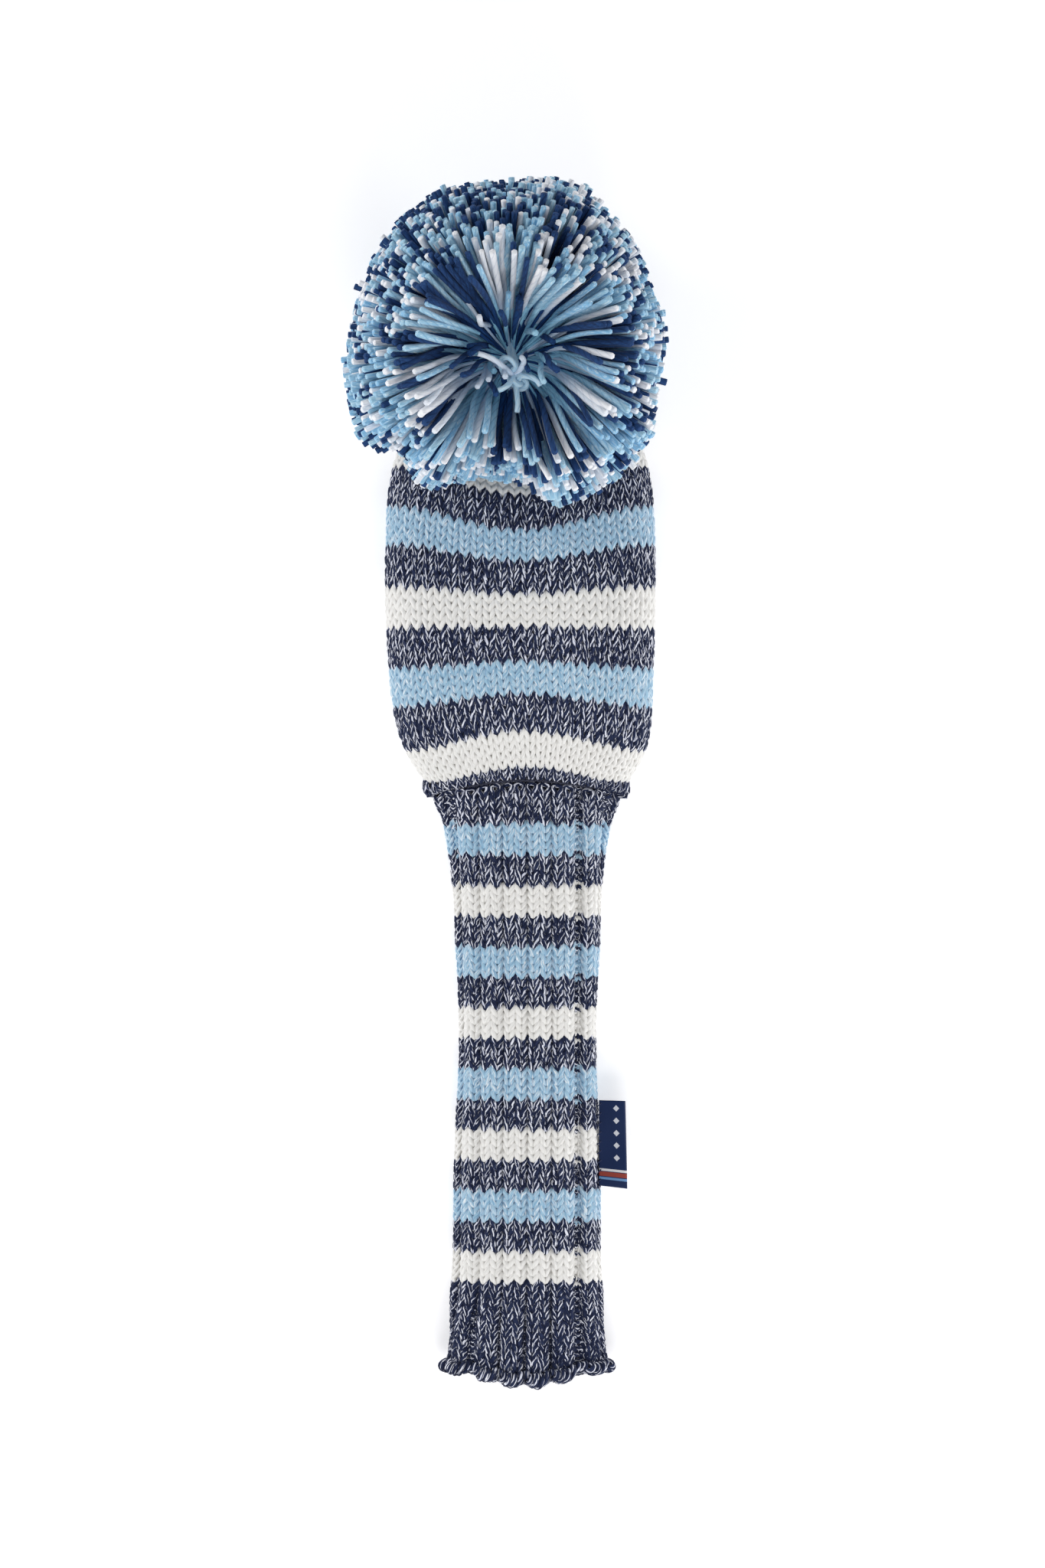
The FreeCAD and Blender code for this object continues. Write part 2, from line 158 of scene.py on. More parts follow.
class Skin:
    """One knitted tube's outer surface as rings of points, one ring for each half row."""

    RAYS = 240
    AROUND = 900
    STEP = 2.0  # from one measured section to the next
    NUDGE = (0.0, 0.3, -0.3)  # a ray's tries beside its section
    PER_ROW = 2.0  # rings in a row of loops
    PAST = 3.0  # rows past both ends
    FAR = 200.0  # outside the part

    def __init__(self, stripes, first, last):
        self.solids = Solids([n for n, _ in stripes])
        self.stations = np.arange(first, last + 0.01, self.STEP)
        self.rings = self.soften(np.array([self.section(y) for y in self.stations]))
        self.spans, edges, start = {}, [], 0
        for name, rows in stripes:
            low, high = [v.y * 1000.0 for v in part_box(name)]
            edges.append((start, low - min(0.0, bow(low + 4.0))))
            self.spans[name] = range(start, start + rows)
            start += rows
        self.edges = np.array([*edges, (start, high - max(0.0, bow(high)))])
        self.rows = start
        self.v = np.arange(-self.PAST, start + self.PAST + 0.01, 1 / self.PER_ROW)
        rings, lengths = zip(*[self.row_ring(self.y_of(v)) for v in self.v])
        self.grid, self.length = np.array(rings), np.array(lengths)
        around = np.roll(self.grid, -3, 1) - np.roll(self.grid, 3, 1)
        along = np.gradient(self.grid, axis=0)
        self.normal = unit(np.cross(around, along))
        out = self.grid - self.grid.mean(1, keepdims=True)
        self.normal *= np.sign((out * self.normal).sum(-1).mean())

    def y_of(self, v):
        """Middle y of row coordinate v, going on in a straight line past the ends."""
        e = self.edges
        y = np.interp(v, e[:, 0], e[:, 1])
        low = (e[1, 1] - e[0, 1]) / (e[1, 0] - e[0, 0])
        high = (e[-1, 1] - e[-2, 1]) / (e[-1, 0] - e[-2, 0])
        return y + min(0.0, v - e[0, 0]) * low + max(0.0, v - e[-1, 0]) * high

    def section(self, y):
        """Where rays from outside meet the tube at one y. Each is cast three times a little apart, because
        one could slip through the gap between two stripes."""
        def meet(origin, direction):
            best, nearest = None, 1e9
            for shift in self.NUDGE:
                start = np.array([origin[0], y + shift, origin[2]])
                found = self.solids.hit(start, direction)
                if found is not None and np.linalg.norm(found - start) < nearest:
                    nearest = np.linalg.norm(found - start)
                    best = np.array([found[0], y, found[2]])
            return best

        high, low = meet((-1, y, self.FAR), (0, 0, -1)), meet((-1, y, -self.FAR), (0, 0, 1))
        z = (high[2] + low[2]) / 2
        right, left = meet((self.FAR, y, z), (-1, 0, 0)), meet((-self.FAR, y, z), (1, 0, 0))
        centre = np.array([(right[0] + left[0]) / 2, y, z])
        half_x, half_z = (right[0] - left[0]) / 2, (high[2] - low[2]) / 2
        points = []
        for k in range(self.RAYS):
            a = TURN * k / self.RAYS
            d = np.array([math.sin(a) * half_x, 0, math.cos(a) * half_z])
            found = meet(centre + d * 6, -d)
            points.append(found if found is not None else points[-1])
        return np.array(points)

    def soften(self, rings):
        """Evens out the steps between a ring's neighbouring points."""
        weights = np.exp(-np.linspace(-2, 2, 9) ** 2)
        weights /= weights.sum()
        return sum(w * np.roll(rings, k - 4, axis=1) for k, w in enumerate(weights))

    def row_ring(self, y0):
        """A row line's ring as AROUND even points, from the top middle towards +X, and its girth."""
        near = self.at(np.full(self.RAYS, float(y0)))
        mid = (near[:, 0].max() + near[:, 0].min()) / 2
        half = (near[:, 0].max() - near[:, 0].min()) / 2
        s = np.clip((near[:, 0] - mid) / half, -1, 1)
        points = self.at(y0 + bow(y0) * np.sin(math.pi * s / 2) ** 2)
        closed = np.vstack([points, points[:1]])
        step = np.linalg.norm(np.diff(closed, axis=0), axis=1)
        gone = join([[0], np.cumsum(step)])
        even = np.arange(self.AROUND) / self.AROUND * gone[-1]
        return np.stack([np.interp(even, gone, closed[:, i]) for i in range(3)], 1), gone[-1]

    def at(self, y):
        """Each ray's point at its own y, in straight lines between and past the stations."""
        f = (y - self.stations[0]) / self.STEP
        i = np.clip(np.floor(f).astype(int), 0, len(self.stations) - 2)
        t = (f - i)[:, None]
        k = np.arange(self.RAYS)
        return self.rings[i, k] * (1 - t) + self.rings[i + 1, k] * t

    def perimeter(self, v):
        return np.interp(v, self.v, self.length)

    def place(self, v, share, out):
        """Points at row coordinate v, a share of the way round from the top middle and out from the surface,
        and the surface's direction there."""
        f = np.clip((v - self.v[0]) * self.PER_ROW, 0, len(self.v) - 1.001)
        i = f.astype(int)
        t = (f - i)[:, None]
        g = share % 1.0 * self.AROUND
        j = g.astype(int) % self.AROUND
        j2 = (j + 1) % self.AROUND
        u = (g - np.floor(g))[:, None]

        def mix(table):
            low = table[i, j] * (1 - u) + table[i, j2] * u
            high = table[i + 1, j] * (1 - u) + table[i + 1, j2] * u
            return low * (1 - t) + high * t

        normal = unit(mix(self.normal))
        return mix(self.grid) + normal * np.asarray(out)[:, None], normal


# ---- meshes from arrays
def net(rings, n, k):
    """Faces between n rings of k points: each one's ring, place in it, and four points. With as many rings of
    faces as of points, the last joins the first."""
    i, j = [m.ravel() for m in np.meshgrid(np.arange(rings), np.arange(k), indexing="ij")]
    ahead, beside = (i + 1) % n * k, (j + 1) % k
    return i, j, np.stack([i * k + j, i * k + beside, ahead + beside, ahead + j], 1)


def together(*values):
    """Arrays side by side in a new last axis, each repeated where the others are longer."""
    return np.stack(np.broadcast_arrays(*values), -1)


def corners(low, high, near, far, *lead):
    """Map values at the four points of each of those faces, after any lead values."""
    ways = ((low, near), (low, far), (high, far), (high, near))
    return np.stack([together(*lead, a, b) for a, b in ways], -2)


def add(name, data):
    ob = bpy.data.objects.new(name, data)
    bpy.context.scene.collection.objects.link(ob)
    return ob


def write_mesh(name, points, quads, maps, material, tris=np.zeros((0, 3), int), tri_maps=None):
    """A smooth mesh from arrays. maps and tri_maps hold the UV layers' values at the faces' points."""
    me = bpy.data.meshes.new(name)
    loops = join([quads.reshape(-1), tris.reshape(-1)]).astype(np.int32)
    sizes = np.repeat((4, 3), (len(quads), len(tris))).astype(np.int32)
    me.vertices.add(len(points))
    me.vertices.foreach_set("co", (points / 1000.0).astype(np.float32).ravel())
    me.loops.add(len(loops))
    me.loops.foreach_set("vertex_index", loops)
    me.polygons.add(len(sizes))
    me.polygons.foreach_set("loop_start", np.cumsum(sizes, dtype=np.int32) - sizes)
    me.polygons.foreach_set("loop_total", sizes)
    me.update(calc_edges=True)
    me.polygons.foreach_set("use_smooth", np.ones(len(sizes), bool))
    for key, values in maps.items():
        flat = values.reshape(-1, 2)
        if tri_maps:
            flat = join([flat, tri_maps[key].reshape(-1, 2)])
        me.uv_layers.new(name=key).data.foreach_set("uv", flat.astype(np.float32).ravel())
    me.materials.append(material)
    me.validate()
    return add(name, me)


def stand_in(ob, node, rides=True):
    """The piece shows in place of a CAD node, which is hidden, and rides on its body if rides is set."""
    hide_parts(node)
    if rides:
        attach(ob, BODY[node])
    return ob


class Tubes:
    """Lengths of yarn written as one mesh, with a map along the yarn and a packed one for baking."""

    PLIES = 2
    TIP, RIM, END = 0.14, 0.84, 0.18  # a cut end's rim and middle, in radii: ahead, wide, ahead

    def __init__(self, sides=SIDES):
        self.sides, self.points, self.quads, self.tris = sides, [], [], []
        self.q_yarn, self.t_yarn, self.q_cell, self.t_cell = [], [], [], []
        self.count, self.strips = 0, 0

    def add(self, centre, side_a, side_b, radius, closed, shift=0.0, strip=50, twist=0.0, lobe=0.0):
        """Lines of yarn and their sides: (lengths, points, 3), and radius: (lengths, points). An open length
        ends in a flat cut. Strip is how many rings share a cell of the bake map."""
        number, n, _ = centre.shape
        k = self.sides
        angle = TURN * np.arange(k) / k
        after = centre[:, :1] if closed else centre[:, -1:]
        step = np.linalg.norm(np.diff(centre, axis=1, append=after), axis=2)
        gone = join([np.zeros((number, 1)), np.cumsum(step, 1)], 1)
        turn = twist * gone[:, :n]
        if closed and twist:
            whole = TURN / self.PLIES
            turn = gone[:, :n] / gone[:, -1:] * np.round(twist * gone[:, -1:] / whole) * whole
        wide = radius[..., None] * (1 + lobe * np.cos(self.PLIES * (angle - turn[..., None])))
        ring = (centre[:, :, None] + side_a[:, :, None] * (np.cos(angle) * wide)[..., None]
                + side_b[:, :, None] * (np.sin(angle) * wide)[..., None])
        rings = n if closed else n - 1
        quad = net(rings, n, k)[2]
        points, tri = ring.reshape(number, n * k, 3), np.zeros((0, 3), int)
        if not closed:
            ahead = unit(centre[:, -1] - centre[:, -2])[:, None]
            r = radius[:, -1:, None]
            rim = (centre[:, -1:] + ahead * r * self.TIP
                   + side_a[:, -1:] * np.cos(angle)[None, :, None] * r * self.RIM
                   + side_b[:, -1:] * np.sin(angle)[None, :, None] * r * self.RIM)
            points = join([points, rim, centre[:, -1:] + ahead * r * self.END], 1)
            j, beside, last, edge = np.arange(k), (np.arange(k) + 1) % k, (n - 1) * k, n * k
            quad = join([quad, np.stack([last + j, last + beside, edge + beside, edge + j], 1)])
            tri = np.stack([edge + j, edge + beside, np.full(k, edge + k)], 1)
        each = points.shape[1]
        base = self.count + np.arange(number)[:, None, None] * each
        self.points.append(points.reshape(-1, 3))
        self.quads.append((quad[None] + base).reshape(-1, 4))
        self.tris.append((tri[None] + base).reshape(-1, 3))
        self.count += number * each
        # maps: along the yarn in centimetres and round it, then a cell of the bake's square
        u = (gone + np.reshape(shift, (-1, 1))) / 10
        v0 = np.arange(k) / k
        v1 = v0 + 1.0 / k
        part = np.arange(rings) // strip
        parts = int(part[-1]) + 1
        local = min(strip, rings if closed else n)
        s0, s1 = [(np.arange(rings) + i - part * strip) / local for i in (0, 1)]
        cell = np.arange(number)[:, None] * parts + part + self.strips
        yarn = corners(u[:, :rings, None], u[:, 1:rings + 1, None], v0, v1).reshape(number, -1, 4, 2)
        place = corners(s0[:, None], s1[:, None], v0, v1, cell[:, :, None]).reshape(number, -1, 4, 3)
        if not closed:
            end, last, thirds = u[:, -1:], cell[:, -1:], together(v0, v1, (v0 + v1) / 2)
            yarn = join([yarn, corners(end, end, v0, v1)], 1)
            place = join([place, corners(s1[-1], 1.0, v0, v1, last)], 1)
            self.t_yarn.append(together(end[:, None], thirds).reshape(-1, 3, 2))
            self.t_cell.append(together(last[:, None], (0.97, 0.97, 1.0), thirds).reshape(-1, 3, 3))
        self.q_yarn.append(yarn.reshape(-1, 4, 2))
        self.q_cell.append(place.reshape(-1, 4, 3))
        self.strips += number * parts

    def lay(self, line, hint, radius, closed, flatten=1.0, **more):
        """Adds one length of yarn along a line. Hint is the direction that its upper side faces."""
        line = np.array(line)[None]
        a, b = frames(line, np.broadcast_to(hint, line.shape), closed)
        self.add(line, a, b * flatten, np.broadcast_to(radius, line.shape[:2]), closed, **more)

    def write(self, name, material, aspect=6.0):
        """Aspect is how many times longer than wide a cell of the bake map is."""
        columns = max(1, int(round(math.sqrt(self.strips / aspect))))
        lines = int(math.ceil(self.strips / columns))

        def packed(cells):
            """Each cell's own values in its place in the square, with a margin round it."""
            c = join(cells)
            x = (c[..., 0] % columns + 0.03 + 0.94 * c[..., 1]) / columns
            y = (c[..., 0] // columns + 0.08 + 0.84 * c[..., 2]) / lines
            return np.stack([x, y], -1)

        maps = {"yarn": join(self.q_yarn), "OFBake": packed(self.q_cell)}
        tri_maps = self.t_yarn and {"yarn": join(self.t_yarn), "OFBake": packed(self.t_cell)}
        return write_mesh(name, join(self.points), join(self.quads), maps, material,
                          join(self.tris), tri_maps)


def frames(centre, hint, closed):
    """Two directions across each point of a line, the second one towards hint."""
    ahead = unit(np.roll(centre, -1, 1) - np.roll(centre, 1, 1) if closed else np.gradient(centre, axis=1))
    across = unit(np.cross(ahead, hint))
    return across, np.cross(across, ahead)


def middle(node):
    low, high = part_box(node)
    return np.array((low + high) / 2) * 1000.0


CORE = middle("pompom_binding")  # where the pom-pom's strands are bound


# ---- materials
class Graph:
    """Short names for building a material's nodes."""

    def __init__(self, name):
        self.material = bpy.data.materials.new(name)
        self.material.use_nodes = True
        self.tree = self.material.node_tree
        self.shader = self.tree.nodes["Principled BSDF"]

    def node(self, kind, values=(), out=0, **settings):
        """An output of a new node. Values sets or links its inputs, by name or number."""
        n = self.tree.nodes.new(kind)
        for key, value in settings.items():
            setattr(n, key, value)
        self.feed(n, dict(values))
        return n.outputs[out]

    def feed(self, n, values):
        for key, value in values.items():
            socket = n.inputs[key]
            if isinstance(value, bpy.types.NodeSocket):
                self.tree.links.new(value, socket)
            else:
                socket.default_value = (*value, 1.0) if socket.type == "RGBA" else value

    def maths(self, operation, *values):
        return self.node("ShaderNodeMath", enumerate(values), operation=operation)

    def times(self, a, b):
        return self.maths("MULTIPLY", a, b)

    def between(self, value, low, high):
        return self.times(self.maths("GREATER_THAN", value, low), self.maths("LESS_THAN", value, high))

    def mix(self, share, a, b):
        return self.node("ShaderNodeMix", {0: share, 6: a, 7: b}, 2, data_type="RGBA")

    def ramp(self, value, low, high):
        values = {"Value": value, "From Min": low, "From Max": high}
        return self.node("ShaderNodeMapRange", values, interpolation_type="SMOOTHSTEP")

    def along_and_round(self, layer="yarn"):
        uv = self.node("ShaderNodeUVMap", uv_map=layer)
        return self.node("ShaderNodeSeparateXYZ", {0: uv}).node.outputs[:2]

    def outward(self, v):
        """1 on the side of the yarn that faces out of the fabric, falling to 0 at its back, where shade is painted
        on.
        """
        return self.ramp(self.maths("SINE", self.times(v, TURN)), -0.6, 0.95)

    def from_core(self, near, far):
        """0 close to the pom-pom's binding, rising to 1 out towards its trimmed surface: it sets where painted
        light tints the strands near the binding.
        """
        here = self.node("ShaderNodeTexCoord", out="Object")
        gap = self.node("ShaderNodeVectorMath", {0: here, 1: CORE / 1000.0}, "Value", operation="DISTANCE")
        return self.ramp(gap, near / 1000.0, far / 1000.0)

    def off_middle(self, phase):
        """0 in the middle of each repeat, rising to 1 where it meets the next."""
        repeat = self.maths("FRACT", phase)
        return self.times(self.maths("ABSOLUTE", self.maths("SUBTRACT", repeat, 0.5)), 2.0)

    def each_strand(self):
        """A value from 0 to 1 of its own for every separate length of yarn."""
        return self.node("ShaderNodeNewGeometry", out="Random Per Island")

    def noise(self, u, v, fine_u, fine_v, detail=1.0):
        """Noise over a length of yarn, joined up round it."""
        turn = self.times(v, TURN)
        spot = (self.times(u, fine_u), self.times(self.maths("COSINE", turn), fine_v),
                self.times(self.maths("SINE", turn), fine_v))
        spot = self.node("ShaderNodeCombineXYZ", enumerate(spot))
        return self.node("ShaderNodeTexNoise", {"Vector": spot, "Scale": 1.0, "Detail": detail})

    def finish(self, colour, roughness, sheen, specular=0.25):
        self.feed(self.shader, {"Base Color": colour, "Roughness": roughness, "Sheen Weight": sheen,
                                "Sheen Roughness": 0.45, "Specular IOR Level": specular})
        return self.material


def plied_yarn(name, base, groove_shade, light, sheen=0.25, deep=None, root=None, other=None):
    """Fine grooves between the plies, with shade painted into them, and paler fibres along them that also stand
    in for painted highlights. Deep is the colour of the painted shade on the sides that face the fabric's
    other yarn, root the painted light on a pom-pom's strands near their binding (a brighter, bluer tint that
    offsets the shade there), and other the tone that some of them are dyed."""
    plies, pitch = 3, 0.62  # pitch in centimetres
    g = Graph(name)
    u, v = g.along_and_round()
    phase = g.maths("ADD", g.times(v, plies), g.times(u, 1 / pitch))
    # painted shade: thin lines between the plies take the colour of the grooves
    groove_shade_share = g.ramp(g.off_middle(phase), 0.62, 1.0)
    fibres = g.noise(u, v, 4.5, 2.4, detail=2.0)
    tone = g.mix(g.ramp(g.each_strand(), 0.15, 0.95), base, other) if other else base
    # paler fibres along the yarn, which also stand in for painted highlights on the plies
    tone = g.mix(g.ramp(fibres, 0.45, 0.72), tone, light)
    # painted light: near the binding the strands take a brighter, bluer root colour that offsets the ball's shade
    # there
    if root:
        tone = g.mix(g.from_core(14.0, 46.0), root, tone)
    tone = g.mix(g.times(groove_shade_share, 0.55), tone, groove_shade)
    # painted shade: the yarn's back, where it faces the fabric's other yarn, takes the deep colour
    if deep:
        tone = g.mix(g.outward(v), deep, tone)
    return g.finish(tone, 0.85, sheen)


def marl_yarn(name, share=0.56):
    """Navy yarn with pale fibres that come and go, so that short flecks lie along it. Share is how much of
    the yarn's girth is pale where they show."""
    g = Graph(name)
    u, v = g.along_and_round()
    drift = g.noise(u, v, 1.2, 0.5)
    phase = g.maths("ADD", g.times(v, 4.0), g.times(u, 1.4))
    off = g.off_middle(g.maths("ADD", phase, g.times(drift, 1.4)))
    broken = g.noise(u, v, 3.5, 2.4)
    edge = g.maths("SUBTRACT", g.times(g.ramp(broken, 0.41, 0.60), share), 0.05)
    pale = g.ramp(g.maths("SUBTRACT", edge, off), -0.05, 0.10)
    deep = g.noise(u, v, 7.0, 2.6, detail=2.0)
    navy = g.mix(g.ramp(deep, 0.35, 0.7), (0.007, 0.011, 0.034), (0.026, 0.038, 0.094))
    fleck = g.mix(g.ramp(deep, 0.3, 0.7), (0.63, 0.655, 0.79), (0.93, 0.945, 1.00))
    # painted shade: the yarn's back, where it faces the fabric's other yarn, is painted near black
    tone = g.mix(g.outward(v), (0.006, 0.009, 0.030), g.mix(pale, navy, fleck))
    return g.finish(tone, 0.88, 0.08, 0.15)


def plain(name, low, high, fine, roughness=0.85):
    """A quiet two-tone surface."""
    g = Graph(name)
    u, v = g.along_and_round()
    tone = g.mix(g.ramp(g.noise(u, v, fine, fine, detail=3.0), 0.35, 0.65), low, high)
    return g.finish(tone, roughness, 0.2)


NAVY = marl_yarn("navy_marl_yarn")
CUFF = marl_yarn("navy_marl_yarn_of_the_cuff", 0.445)
# deep: the painted shade on the back of each fabric yarn
BLUE = plied_yarn("light_blue_yarn", (0.345, 0.55, 0.71), (0.11, 0.27, 0.47), (0.88, 0.92, 0.95),
                  deep=(0.055, 0.15, 0.30))
CREAM = plied_yarn("cream_yarn", (0.86, 0.85, 0.825), (0.66, 0.65, 0.62), (0.92, 0.915, 0.90),
                   deep=(0.41, 0.395, 0.36))
# root: painted light, a brighter, bluer tint near the binding that offsets the ball's shade there
POM_NAVY = plied_yarn("pompom_navy_yarn", (0.009, 0.038, 0.130), (0.003, 0.012, 0.045), (0.020, 0.075, 0.22),
                      sheen=0.05, root=(0.013, 0.070, 0.235), other=(0.016, 0.056, 0.180))
POM_BLUE = plied_yarn("pompom_blue_yarn", (0.37, 0.62, 0.79), (0.15, 0.36, 0.56), (0.64, 0.81, 0.90),
                      root=(0.38, 0.78, 1.0), other=(0.24, 0.51, 0.77))
POM_PALE = plied_yarn("pompom_pale_yarn", (0.92, 0.93, 0.96), (0.62, 0.65, 0.75), (0.97, 0.97, 0.99),
                      root=(0.62, 0.80, 1.0), other=(0.78, 0.85, 0.94))
# paler and brighter than the pom-pom's blue: partly the tie's own colour and partly painted light that offsets the
# shade the knot lies in
TIE = plied_yarn("tie_yarn", (0.56, 0.80, 0.96), (0.25, 0.50, 0.75), (0.78, 0.92, 0.98))
THREAD = plain("linking_thread", (0.010, 0.012, 0.030), (0.05, 0.055, 0.09), 9.0)
SEWING = plain("sewing_thread", (0.012, 0.020, 0.07), (0.03, 0.045, 0.12), 9.0)
ELASTIC = plain("elastic", (0.62, 0.61, 0.57), (0.80, 0.79, 0.75), 6.0, 0.6)
FLEECE = plain("fleece_lining", (0.50, 0.48, 0.45), (0.66, 0.64, 0.60), 2.0, 0.95)
YARNS = {"navy_marl_yarn": NAVY, "light_blue_yarn": BLUE, "cream_yarn": CREAM}


# ---- knitted loops
class Rib:
    """Where each wale of the two-by-two ribbed sleeve lies round it. Six ribs lie close together on top, but
    for a furrow on each side, and hide their purl wales. The six below share what is left."""

    def __init__(self, skin):
        self.skin = skin

    def table(self, v):
        """(wale, mm round, depth share) at row v, from the rib right of the top middle, and the girth. The
        furrows open towards the mouth, over its first 15 rows."""
        share = smooth((15.0 - v) / 12.0)
        whole = self.skin.perimeter(v)
        right, left = 3.6 + 1.7 * share, 0.6 + 3.8 * share
        widths = [RIB_WIDTH - 0.6 * share] * RIBS
        close = 0.55 + 1.3 * share
        under = (whole - sum(widths) - right - left - 3 * close) / 7.0
        gaps = [close, right] + [under] * 7 + [left, close, close]
        rows, at = [], 0.0
        for r in range(RIBS):
            w, start, end = 4 * r, at, at + widths[r]
            gap = gaps[r]
            half = max(2.7, gap / 2 + 1.0)
            centre = end + gap / 2
            rows += [(w + 0.5, start + widths[r] * 0.26, 0.06), (w + 1.0, start + widths[r] * 0.5, 0.0),
                     (w + 1.5, start + widths[r] * 0.74, 0.06), (w + 2.0, end - 0.1, 0.48),
                     (w + 2.5, centre - half * 0.5, 1.0), (w + 3.0, centre, 1.0),
                     (w + 3.5, centre + half * 0.5, 1.0), (w + 4.0, end + gap + 0.1, 0.48)]
            at = end + gap
        return np.array(rows), whole

    def course(self, v):
        """How many wales a row has, and where each lies: its share of the way round, depth and facing."""
        rows, whole = self.table(v)
        n = len(rows)

        def curve(column, rise):
            """A closed cubic through the table's rows, which are half a wale apart."""
            value = rows[:, column]

            def f(w):
                x = (w - 0.5) * 2.0
                i = np.floor(x).astype(int)
                t = x - i

                def get(k):
                    q = i + k
                    return value[q % n] + (q // n) * rise

                a, b, c, d = get(-1), get(0), get(1), get(2)
                return b + 0.5 * t * (c - a + t * (2 * a - 5 * b + 4 * c - d + t * (3 * (b - c) + d - a)))
            return f

        arc, depth = curve(1, whole), curve(2, 0.0)

        def where(w):
            face = np.cos(math.pi * (w - 1.0) / 2.0)
            return arc(w) / whole, -RECESS * depth(w), np.clip(face * 2.2, -1, 1)
        return 4 * RIBS, where


class Plain:
    """Even wales round the head, all of them knit."""

    def course(self, v):
        return HEAD_WALES, lambda w: (w / HEAD_WALES, np.zeros_like(w), np.ones_like(w))


def from_sides(share):
    """How far a share of the way round lies from the nearer of the tube's two sides."""
    return np.abs(np.abs(share % 1.0 - 0.5) - 0.25)


def knit_row(skin, layout, row, seed, wing):
    """One closed row of loops: points of the yarn's middle, the surface's direction and the yarn's radius.
    Wing is the side of the linking seam that a row by it lies on, as the fabric stands out there."""
    rng = np.random.default_rng(seed)
    v = row + 0.5
    wales, where = layout.course(v)
    n = wales * SAMPLES
    t = TURN * np.arange(n) / SAMPLES
    w = t / TURN

    def jitter(amount, per=1):
        """A smooth random line round the row, with so many knots per wale."""
        knots = rng.normal(0, amount, wales * per)
        x = w * per
        i = np.floor(x).astype(int)
        f = smooth(x - i)
        return knots[i % len(knots)] * (1 - f) + knots[(i + 1) % len(knots)] * f

    wp = w + LEAN * (1 + jitter(0.10)) * np.sin(2 * t) + jitter(0.022, 2)
    share, deep, face = where(wp)
    tall = LOOP_REACH * (1 + jitter(0.05, 2))
    rows = v - tall * np.cos(t) + jitter(0.04)
    out = MID + deep - LOOP_DEPTH * np.cos(2 * t) * face + jitter(0.09, 2)
    side = smooth(1 - from_sides(share) / WING_WIDE)
    if wing == "head":
        out = out + side * (WING_OUT + jitter(0.5) - WING_TUCK * smooth(1 - rows / 0.9))
    elif wing == "collar":
        out = out + side * WING_OUT * smooth((rows - skin.rows + 4.5) / 3.5)
    centre, normal = skin.place(rows, share, out)
    if wing == "head":
        centre[:, 1] -= WING_DROP * side * smooth(1 - rows / 2.6)
    width = skin.perimeter(v) / wales if wales == HEAD_WALES else RIB_WALE
    full = np.clip(width / 4.1, 0.5, 1.0)
    radius = YARN * full * (1 + 0.06 * np.sin(t + math.pi / 2) ** 2 + jitter(0.03, 2))
    return centre, normal, radius


def knit_stripe(name, skin, layout, seed):
    tubes = Tubes()
    for row in skin.spans[name]:
        wing = None
        if skin is head and row < 2:
            wing = "head"
        elif skin is sleeve and row > skin.rows - 5:
            wing = "collar"
        centre, normal, radius = knit_row(skin, layout, row, seed * 100 + row, wing)
        tubes.lay(centre, normal, radius, True, FLATTEN, shift=37.0 * row, strip=STRIP, twist=TWIST,
                  lobe=LOBE)
    ob = tubes.write(name + "_loops", CUFF if name == "cuff_navy" else YARNS[SLOT[name]])
    return stand_in(ob, name, rides=False)


sleeve = Skin(SLEEVE, 10.0, 214.0)
head = Skin(HEAD, 221.0, 361.0)
rib, plain_wales = Rib(sleeve), Plain()
NEAR = 0.004  # metres from a joint's soft stripes


def settle(ob, name):
    """Applies the transform of a stripe of the sleeve that lies by one of its joints, and lets the others ride on
    their bodies.
    """
    low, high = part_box(name)
    for j in (JOINT["neck_bend"], JOINT["sleeve_bend"]):
        boxes = [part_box(d["node"]) for d in j["deforming_nodes"]]
        start, end = min(b[0].y for b in boxes), max(b[1].y for b in boxes)
        if high.y > start - NEAR and low.y < end + NEAR:
            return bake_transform(ob)
    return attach(ob, BODY[name])


for number, (name, _) in enumerate(SLEEVE):
    settle(knit_stripe(name, sleeve, rib, number + 1), name)
for number, (name, _) in enumerate(HEAD):
    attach(knit_stripe(name, head, plain_wales, number + 40), BODY[name])


# ---- edges, seam and what is sewn in
def cast_on_edge():
    """Rolled edge: loops of yarn wound over the mouth's first row, fuller on the knit ribs."""
    tubes = Tubes()
    wales, where = rib.course(0.0)
    for turn, (lift, seed) in enumerate(((0.0, 5), (0.5, 6))):
        rng = np.random.default_rng(seed)
        points = wales * EDGE_SAMPLES
        t = TURN * np.arange(points) / EDGE_SAMPLES
        w = t / TURN + lift
        share, deep, _ = where(w + 0.18 * np.sin(t + 0.6))
        full = np.clip(1 + deep / RECESS * 1.6, 0, 1)
        wobble = np.interp(np.arange(points), np.arange(wales + 1) * EDGE_SAMPLES,
                           np.append(rng.normal(0, 0.16, wales), 0.0))
        rows = 0.35 - 0.75 * full - (0.50 + 0.22 * full) * np.cos(t + 0.4) + wobble * 0.5
        out = MID * 0.55 + deep * 0.7 + 0.45 * full + (1.35 + 0.75 * full) * np.sin(t + 0.4) + wobble
        centre, normal = sleeve.place(rows, share, np.minimum(out, 1.7))
        centre[:, 2] = np.maximum(centre[:, 2], FLOOR + YARN + 0.1)
        tubes.lay(centre, normal, YARN * 1.08, True, shift=90.0 * turn, strip=STRIP, twist=1.0, lobe=LOBE)
    stand_in(tubes.write("cast_on_edge_loops", NAVY), "cast_on_edge")


